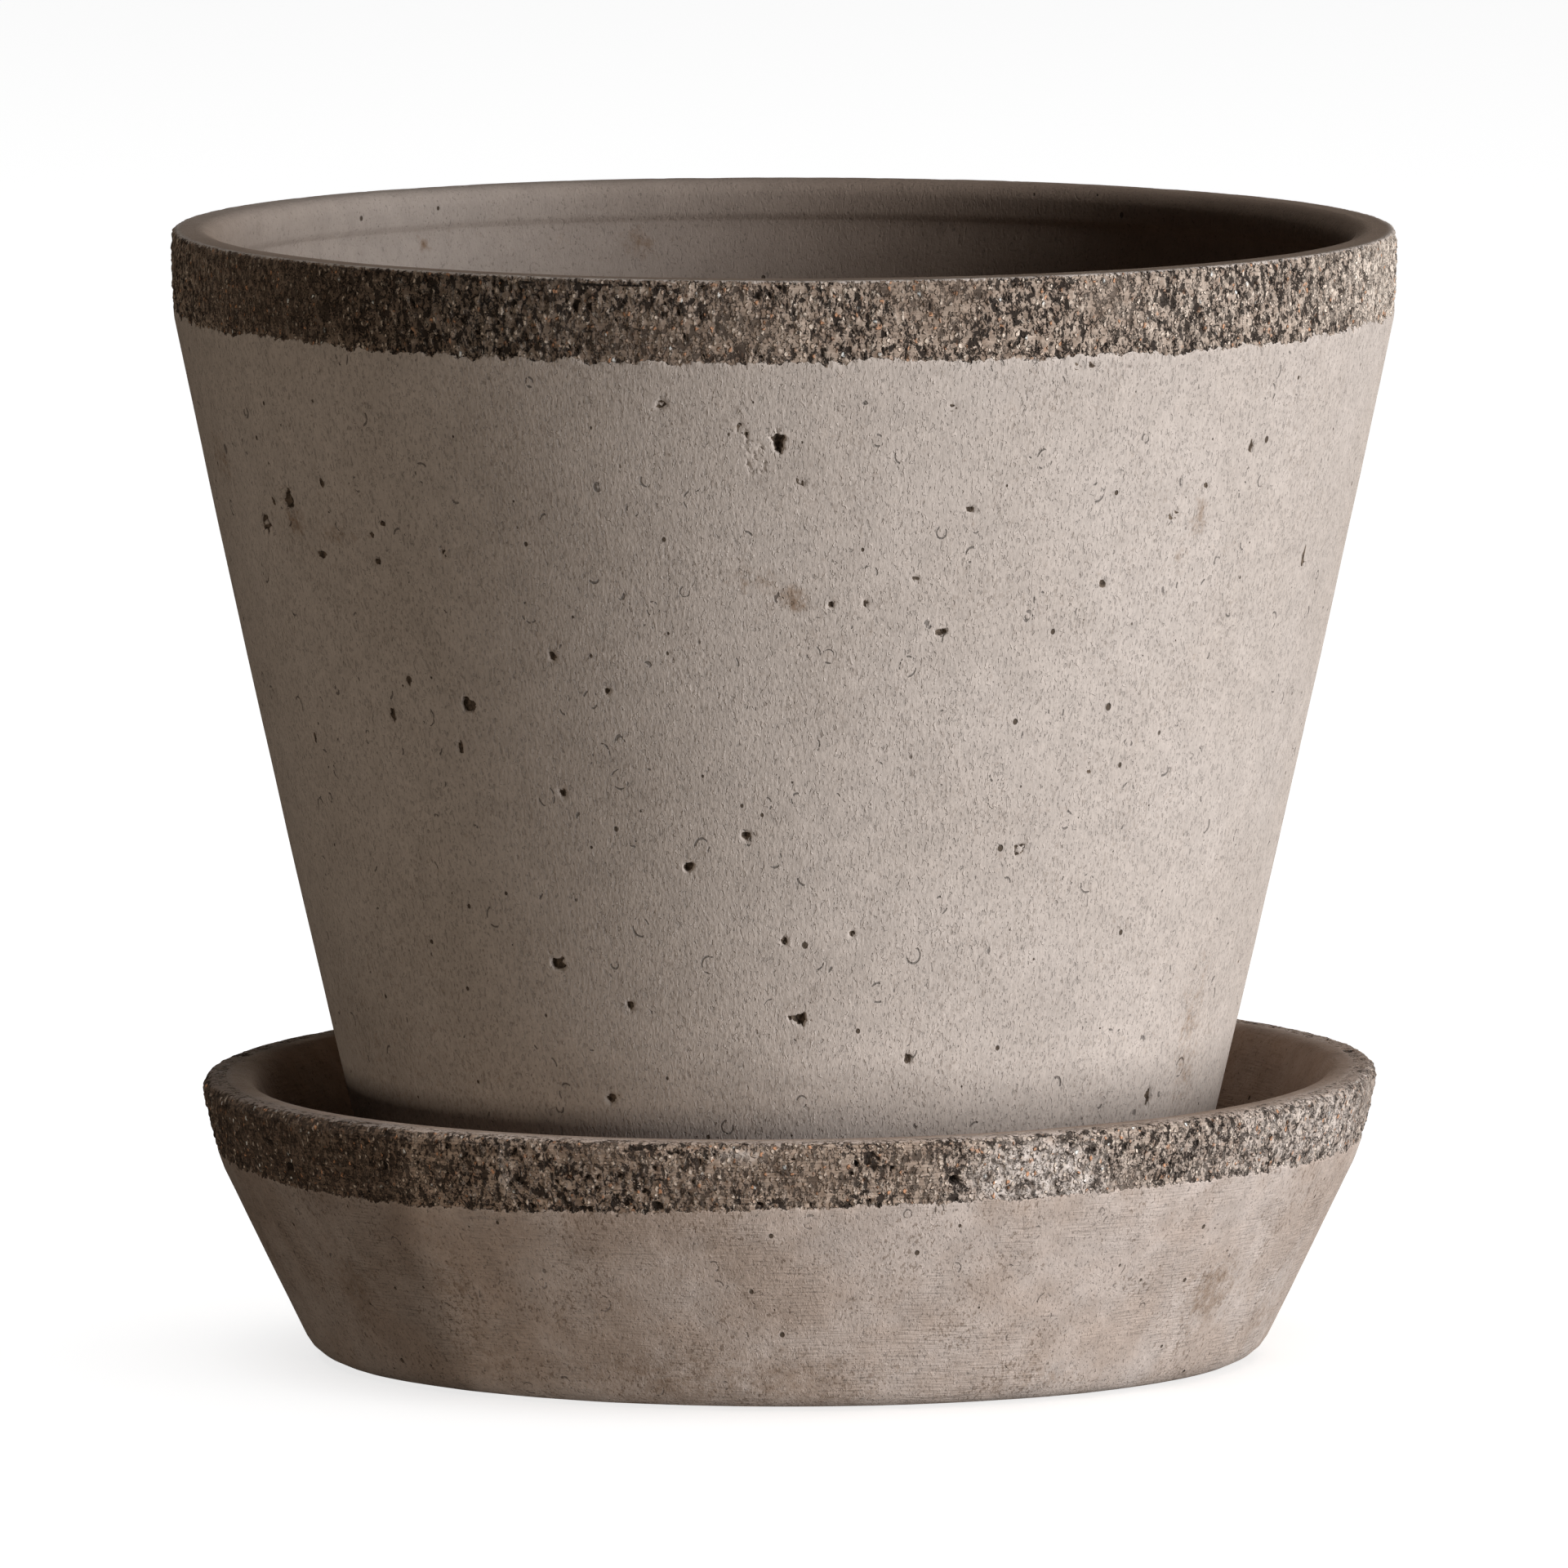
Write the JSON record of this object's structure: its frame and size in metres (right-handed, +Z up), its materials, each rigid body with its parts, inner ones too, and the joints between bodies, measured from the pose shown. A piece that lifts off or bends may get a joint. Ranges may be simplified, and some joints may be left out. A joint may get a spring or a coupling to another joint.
{
  "type": "plant pot with saucer",
  "caption": "Tapered unglazed clay plant pot with a rough bare band under its lip and a drain hole, standing in a matching flared saucer that it lifts out of.",
  "frame": {"origin": "centre of the saucer's underside, on the surface that the saucer stands on", "axes": "+Z up along the axis that both pieces are turned about; +X and +Y lie in the standing surface, and -Y is the front"},
  "size_m": [0.1606, 0.1606, 0.1479],
  "materials": {
    "pot_clay": "matte raw clay with a rough dark band at the rim",
    "saucer_clay": "matte raw clay with a rough dark band at the rim"
  },
  "bodies": {
    "saucer": {"saucer": "saucer_clay"},
    "pot": {"pot": "pot_clay"}
  },
  "joints": [
    {"name": "pot_lift", "type": "slide", "parent": "saucer", "child": "pot", "axis": [0, 0, 1], "range_m": [0, 0.06]}
  ]
}
